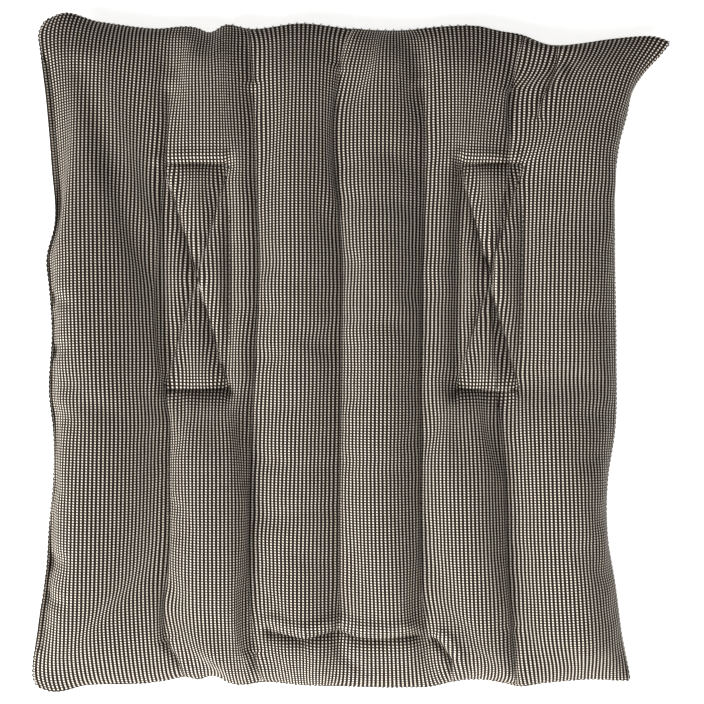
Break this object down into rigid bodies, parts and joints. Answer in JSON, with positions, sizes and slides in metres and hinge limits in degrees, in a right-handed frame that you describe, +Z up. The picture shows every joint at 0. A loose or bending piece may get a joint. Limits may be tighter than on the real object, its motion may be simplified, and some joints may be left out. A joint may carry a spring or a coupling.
{
  "type": "chair seat pad",
  "caption": "Channel-quilted square seat pad of striped woven cotton, filled with wadding and held to a chair seat by strips of loop tape underneath.",
  "frame": {"origin": "middle of the pad's box, on the plane that it lies on", "axes": "+X across the channels, +Y along the channels from the front edge of the seat to the back edge, +Z up"},
  "size_m": [0.476, 0.504, 0.0385],
  "materials": {
    "woven_cotton": "plain weave in narrow ivory and dark-brown stripes",
    "polyester_wadding": "lofty white fibre",
    "sewing_thread": "dark-brown twisted polyester",
    "loop_tape": "black woven nylon with a brushed loop pile"
  },
  "bodies": {
    "root": {"top_cover": "woven_cotton", "bottom_cover": "woven_cotton", "wadding_upper": "polyester_wadding", "wadding_lower": "polyester_wadding", "edge_seam": "sewing_thread", "closing_seam": "sewing_thread", "channel_seam_1": "sewing_thread", "channel_seam_2": "sewing_thread", "channel_seam_3": "sewing_thread", "channel_seam_4": "sewing_thread", "channel_seam_5": "sewing_thread", "loop_tape_left": "loop_tape", "box_stitch_left": "sewing_thread", "loop_tape_right": "loop_tape", "box_stitch_right": "sewing_thread"}
  },
  "joints": []
}
